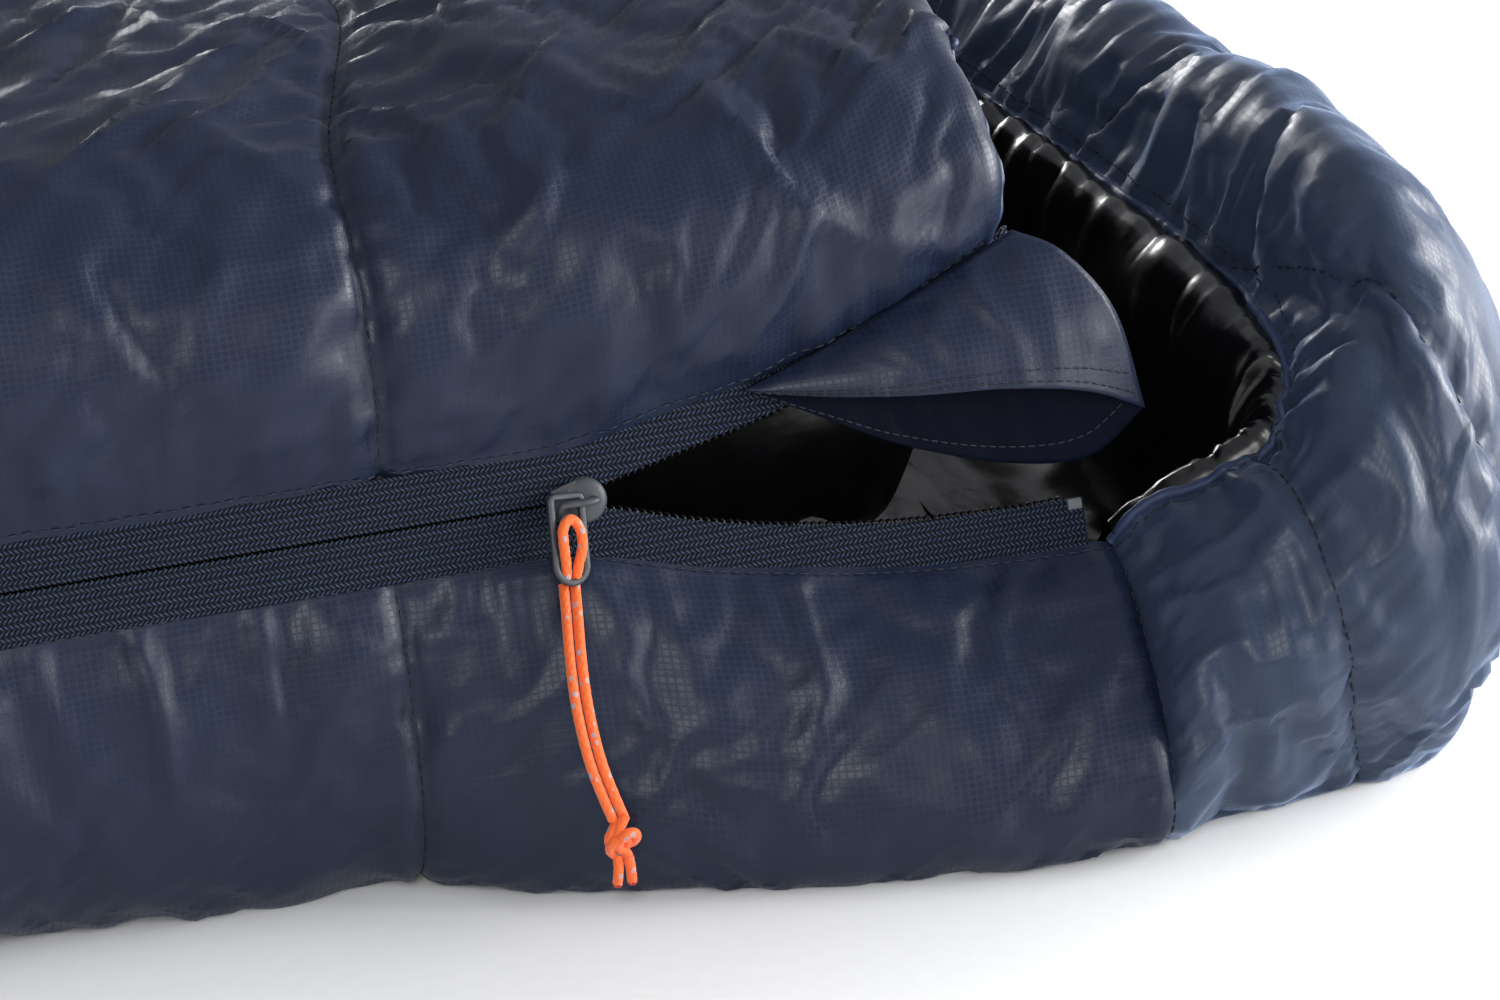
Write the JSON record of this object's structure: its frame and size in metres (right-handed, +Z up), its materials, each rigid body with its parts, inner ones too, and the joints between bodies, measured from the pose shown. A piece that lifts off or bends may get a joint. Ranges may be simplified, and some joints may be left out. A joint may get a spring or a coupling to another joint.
{
  "type": "sleeping bag",
  "caption": "Rectangular insulated sleeping bag with a padded, gathered hood and a side zip that is open at the neck, lying flat, with a corded zip pull.",
  "frame": {"origin": "on the ground under the middle of the quilt's width, 1.04 m from the foot and 0.884 m from the head end", "axes": "+X from foot to head, -Y the zip side, +Z up from the ground"},
  "size_m": [1.924, 0.904, 0.196],
  "materials": {
    "shell_fabric": "semi-gloss navy ripstop nylon",
    "lining_fabric": "glossy black taffeta",
    "insulation": "soft synthetic batting",
    "binding": "folded navy nylon edge",
    "elastic": "covered elastic cord",
    "zip_tape": "matt knitted polyester tape",
    "zip_coil": "glossy black nylon coil",
    "zip_stop": "moulded grey plastic",
    "slider": "satin dark grey coated metal",
    "cord": "orange braid with grey reflective flecks"
  },
  "bodies": {
    "bag": {"base_shell": "shell_fabric", "base_insulation": "insulation", "base_lining": "lining_fabric", "top_shell": "shell_fabric", "top_insulation": "insulation", "top_lining": "lining_fabric", "top_neck_binding": "binding", "hood_shell": "shell_fabric", "hood_insulation": "insulation", "hood_lining": "lining_fabric", "hood_rim_binding": "binding", "hood_rim_elastic": "elastic", "zip_tape_lower": "zip_tape", "zip_tape_upper": "zip_tape", "zip_coil_lower": "zip_coil", "zip_coil_upper": "zip_coil", "zip_top_stop_lower": "zip_stop", "zip_top_stop_upper": "zip_stop", "zip_bottom_stop": "zip_stop", "zip_garage": "shell_fabric", "draft_tube_shell": "lining_fabric", "draft_tube_insulation": "insulation"},
    "slider": {"slider_body": "slider", "slider_bridge": "slider"},
    "pull": {"pull_ring": "slider", "pull_cord_hitch": "cord"},
    "cord": {"pull_cord_left": "cord", "pull_cord_right": "cord", "pull_cord_knot": "cord"}
  },
  "joints": [
    {"name": "slider_travel", "type": "slide", "parent": "bag", "child": "slider", "axis": [1, 0, 0], "range_m": [-1.19, 0]},
    {"name": "pull_swing", "type": "hinge", "parent": "slider", "child": "pull", "pos_m": [0.6312, -0.40714, 0.0996], "axis": [-1, 0, 0], "range_deg": [0, 90]},
    {"name": "cord_swing", "type": "hinge", "parent": "pull", "child": "cord", "pos_m": [0.62985, -0.41423, 0.08156], "axis": [-1, 0, 0], "range_deg": [0, 45]}
  ]
}
